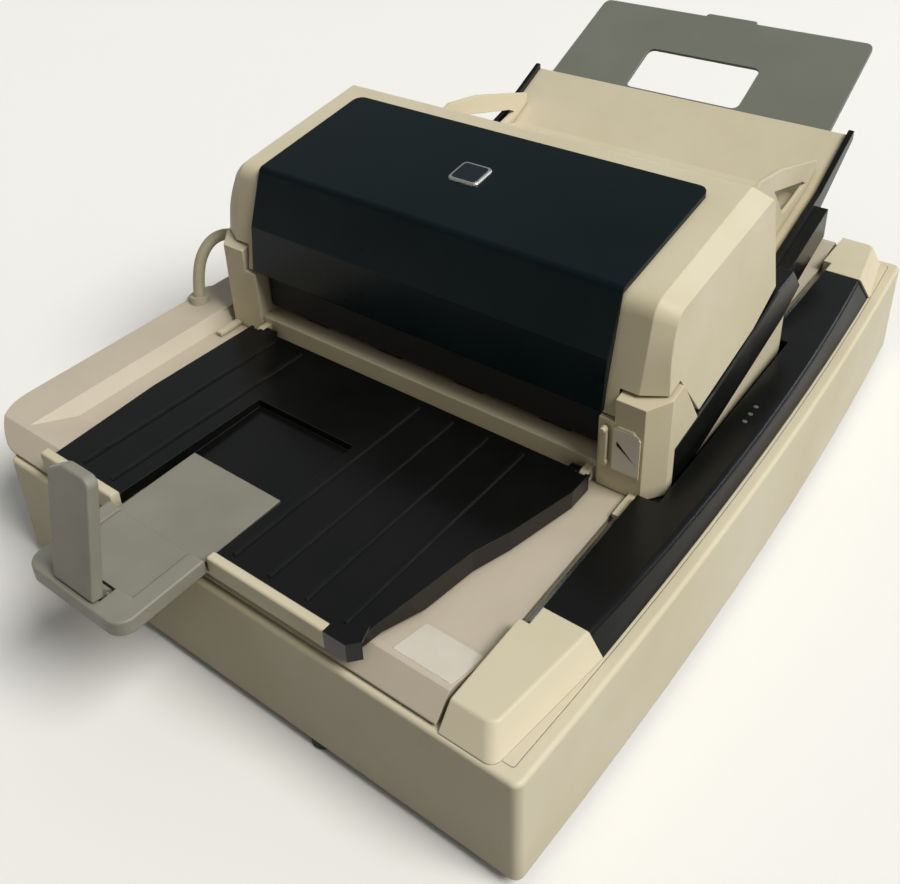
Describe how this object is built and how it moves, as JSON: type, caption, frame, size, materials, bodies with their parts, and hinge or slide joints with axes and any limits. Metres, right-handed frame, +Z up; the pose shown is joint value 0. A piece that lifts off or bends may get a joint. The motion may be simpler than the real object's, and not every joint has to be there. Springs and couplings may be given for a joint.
{
  "type": "document scanner",
  "caption": "Flatbed document scanner with a hinged cover, a sheet feeder bridging it, a sloped hopper chute with extension and a low stacker tray with a stopper.",
  "frame": {"origin": "middle of the whole machine's outline in plan, on the surface that its rubber feet stand on", "axes": "+X along the long side from the stacker to the hopper, +Y from the operator to the rear, +Z up"},
  "size_m": [0.834, 0.4939, 0.261],
  "materials": {
    "cream_plastic": "fine moulded grain",
    "cover_plastic": "fine moulded grain",
    "black_plastic": "satin moulded grain",
    "grey_plastic": "satin moulded grain",
    "frame_plastic": "moulded",
    "idler_plastic": "moulded",
    "document_glass": "clear float glass",
    "lamp_lens": "clear tinted lens",
    "lamp_tube": "frosted tube",
    "lens_barrel": "black barrel",
    "polished_steel": "ground and polished",
    "zinc_steel": "zinc plated sheet",
    "belt_rubber": "moulded",
    "roller_rubber": "ground rubber",
    "foot_rubber": "moulded",
    "board_laminate": "solder resist",
    "white_backing": "smooth white sheet",
    "badge_metal": "bright rim",
    "cable_sheath": "smooth sheath"
  },
  "bodies": {
    "base": {"lower_case": "cream_plastic", "feet": "foot_rubber", "top_frame": "frame_plastic", "scan_glass": "document_glass", "operator_panel": "black_plastic", "indicator_lamps": "lamp_lens", "left_block": "cream_plastic", "right_block": "cream_plastic", "front_rail": "polished_steel", "guide_rods": "polished_steel", "drive_motor": "zinc_steel", "belt_pulleys": "zinc_steel", "drive_belt": "belt_rubber", "main_board": "board_laminate", "power_supply": "zinc_steel", "rear_panel": "zinc_steel", "rear_sockets": "black_plastic", "hinge_bracket_left": "zinc_steel", "hinge_bracket_right": "zinc_steel"},
    "rocker": {"power_rocker": "black_plastic"},
    "carriage": {"carriage_body": "black_plastic", "carriage_lamp": "lamp_tube", "carriage_lens": "lens_barrel"},
    "cover": {"cover_shell": "cover_plastic", "cover_pad": "white_backing", "hinge_arm_left": "zinc_steel", "hinge_arm_right": "zinc_steel", "feeder_frame": "cream_plastic", "front_cheek": "black_plastic", "rear_cheek": "black_plastic", "lever_plate": "cream_plastic", "lower_window": "document_glass", "hopper_chute": "cream_plastic", "hopper_base": "black_plastic", "feeder_cable": "cable_sheath", "cable_collars": "cable_sheath"},
    "lever": {"thickness_lever": "black_plastic"},
    "pick_roller": {"pick_shaft": "polished_steel", "pick_tyres": "roller_rubber"},
    "feed_roller": {"feed_shaft": "polished_steel", "feed_tyres": "roller_rubber"},
    "exit_roller": {"exit_shaft": "polished_steel", "exit_tyres": "roller_rubber"},
    "feeder_top": {"top_shell": "cream_plastic", "top_pins": "polished_steel", "black_cap": "black_plastic", "badge_plate": "badge_metal", "upper_guide": "black_plastic", "upper_window": "document_glass"},
    "feed_wheels": {"feed_idler": "idler_plastic"},
    "exit_wheels": {"exit_idler": "idler_plastic"},
    "guide_front": {"front_guide": "cream_plastic"},
    "guide_back": {"back_guide": "cream_plastic"},
    "extension": {"hopper_extension": "grey_plastic"},
    "stacker": {"stacker_tray": "black_plastic", "stacker_bar": "cream_plastic", "bar_cap": "black_plastic"},
    "stacker_plate": {"stacker_slide": "grey_plastic"},
    "stop": {"stopper": "grey_plastic"}
  },
  "joints": [
    {"name": "cover_hinge", "type": "hinge", "parent": "base", "child": "cover", "pos_m": [-0.0395, 0.215, 0.098], "axis": [-1, 0, 0], "range_deg": [0, 70]},
    {"name": "carriage_travel", "type": "slide", "parent": "base", "child": "carriage", "axis": [1, 0, 0], "range_m": [0, 0.43]},
    {"name": "rocker_pivot", "type": "hinge", "parent": "base", "child": "rocker", "pos_m": [0.1865, 0.198, 0.048], "axis": [-1, 0, 0], "range_deg": [0, 16]},
    {"name": "top_hinge", "type": "hinge", "parent": "cover", "child": "feeder_top", "pos_m": [0.0395, 0.001, 0.181], "axis": [0, 1, 0], "range_deg": [0, 42]},
    {"name": "feed_spin", "type": "hinge", "parent": "cover", "child": "feed_roller", "pos_m": [0.0125, 0.001, 0.1065], "axis": [0, 1, 0], "continuous": true},
    {"name": "pick_spin", "type": "hinge", "parent": "cover", "child": "pick_roller", "pos_m": [0.0425, 0.001, 0.1065], "axis": [0, 1, 0], "continuous": true},
    {"name": "exit_spin", "type": "hinge", "parent": "cover", "child": "exit_roller", "pos_m": [-0.1095, 0.001, 0.1065], "axis": [0, 1, 0], "continuous": true},
    {"name": "feed_wheel_spin", "type": "hinge", "parent": "feeder_top", "child": "feed_wheels", "pos_m": [0.0125, 0.001, 0.1212], "axis": [0, 1, 0], "continuous": true},
    {"name": "exit_wheel_spin", "type": "hinge", "parent": "feeder_top", "child": "exit_wheels", "pos_m": [-0.1095, 0.001, 0.1212], "axis": [0, 1, 0], "continuous": true},
    {"name": "front_guide_slide", "type": "slide", "parent": "cover", "child": "guide_front", "axis": [0, 1, 0], "range_m": [0, 0.1]},
    {"name": "back_guide_slide", "type": "slide", "parent": "cover", "child": "guide_back", "axis": [0, 1, 0], "range_m": [-0.1, 0]},
    {"name": "extension_slide", "type": "slide", "parent": "cover", "child": "extension", "axis": [0.9063, 0, 0.4226], "range_m": [-0.1, 0]},
    {"name": "stacker_hinge", "type": "hinge", "parent": "cover", "child": "stacker", "pos_m": [-0.1425, 0.001, 0.104], "axis": [0, 1, 0], "range_deg": [0, 70]},
    {"name": "stacker_plate_slide", "type": "slide", "parent": "stacker", "child": "stacker_plate", "axis": [1, 0, 0], "range_m": [0, 0.06]},
    {"name": "stop_fold", "type": "hinge", "parent": "stacker_plate", "child": "stop", "pos_m": [-0.4015, 0.035, 0.114], "axis": [0, 1, 0], "range_deg": [0, 74]},
    {"name": "lever_pivot", "type": "hinge", "parent": "cover", "child": "lever", "pos_m": [-0.1375, -0.164, 0.122], "axis": [1, 0, 0], "range_deg": [0, 30]}
  ],
  "couplings": [
    {"joint": "pick_spin", "follows": "feed_spin", "ratio": 1},
    {"joint": "exit_spin", "follows": "feed_spin", "ratio": 1},
    {"joint": "back_guide_slide", "follows": "front_guide_slide", "ratio": -1}
  ]
}
